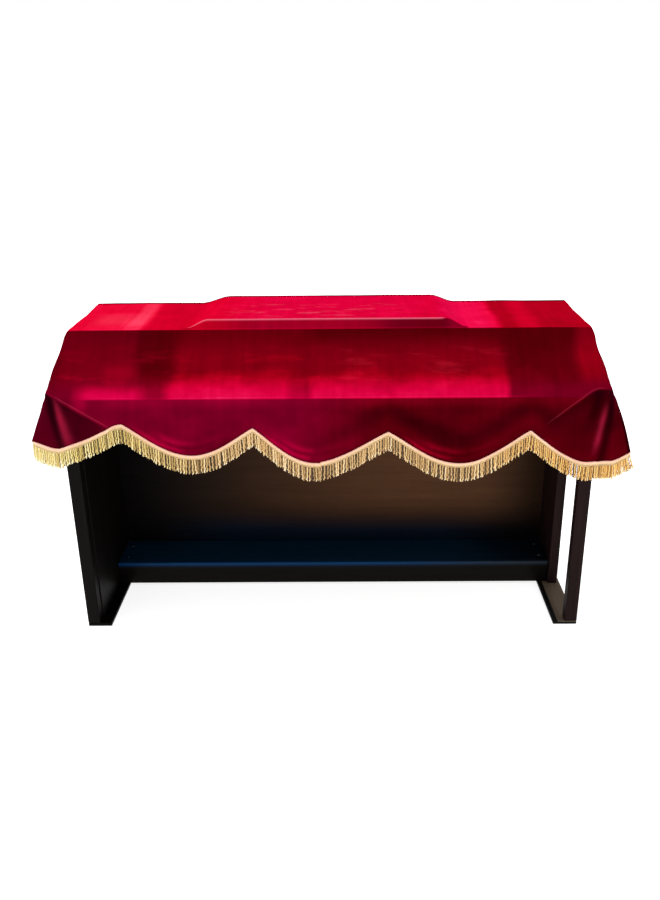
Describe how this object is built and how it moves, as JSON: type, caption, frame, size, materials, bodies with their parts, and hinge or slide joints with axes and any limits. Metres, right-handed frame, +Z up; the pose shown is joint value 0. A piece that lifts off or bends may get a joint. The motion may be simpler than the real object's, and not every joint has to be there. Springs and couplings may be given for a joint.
{
  "type": "piano cover on a console piano",
  "caption": "Crimson velvet piano cover with a scalloped, gold-fringed front hem, draped over the top and sloping front of a plain dark console piano.",
  "frame": {"origin": "on the floor, under the middle of the whole object's bounding box", "axes": "+X towards the piano's right-hand end as its player faces it, +Y from the player's side to the back, +Z up"},
  "size_m": [1.5698, 0.5038, 0.833],
  "materials": {
    "velvet": "short crimson pile with a nap that shows lighter and darker by direction",
    "gold_thread": "twisted gold thread with a soft sheen",
    "dark_wood": "dark brown stained veneer, satin"
  },
  "bodies": {
    "root": {"cover": "velvet", "fringe": "gold_thread", "case": "dark_wood", "music_rest": "dark_wood", "foot_left": "dark_wood", "foot_right": "dark_wood", "leg_left": "dark_wood", "leg_right": "dark_wood", "side_board_left": "dark_wood", "side_board_right": "dark_wood", "low_board": "dark_wood", "back_panel": "dark_wood"}
  },
  "joints": []
}
